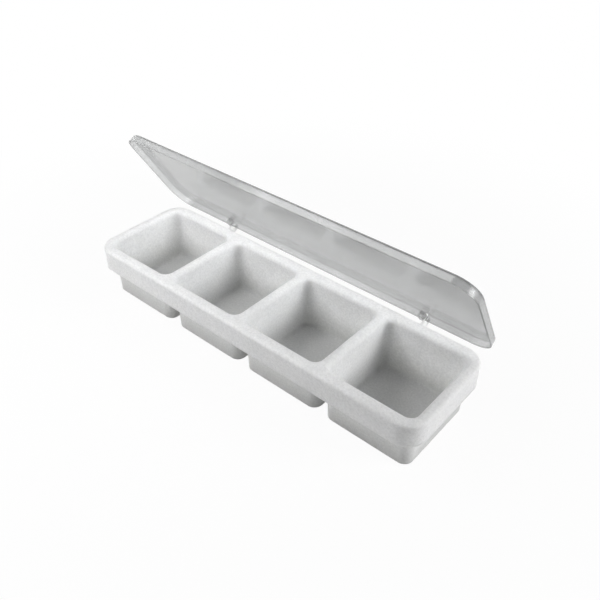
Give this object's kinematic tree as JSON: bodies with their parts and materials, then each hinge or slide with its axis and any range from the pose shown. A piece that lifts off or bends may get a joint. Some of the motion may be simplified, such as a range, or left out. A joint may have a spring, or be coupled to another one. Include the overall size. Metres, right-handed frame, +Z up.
{
  "type": "bar caddy",
  "caption": "Long white bar caddy with a row of deep tapered garnish pockets under a flat rim, and a clear smoky lid hinged along its back edge, standing open.",
  "frame": {"origin": "centre of the whole object's bounding box as the picture shows it, lid open, on the surface it stands on", "axes": "+X along the row of pockets, towards the end nearest the camera; +Y towards the hinge side; +Z up"},
  "size_m": [0.4752, 0.151, 0.1958],
  "materials": {
    "white_plastic": "satin",
    "clear_plastic": "gloss"
  },
  "bodies": {
    "tray": {"tray": "white_plastic"},
    "lid": {"lid": "clear_plastic"}
  },
  "joints": [
    {"name": "lid_hinge", "type": "hinge", "parent": "tray", "child": "lid", "pos_m": [0, 0.0715, 0.067], "axis": [-1, 0, 0], "range_deg": [-58.2, 121.8]}
  ]
}
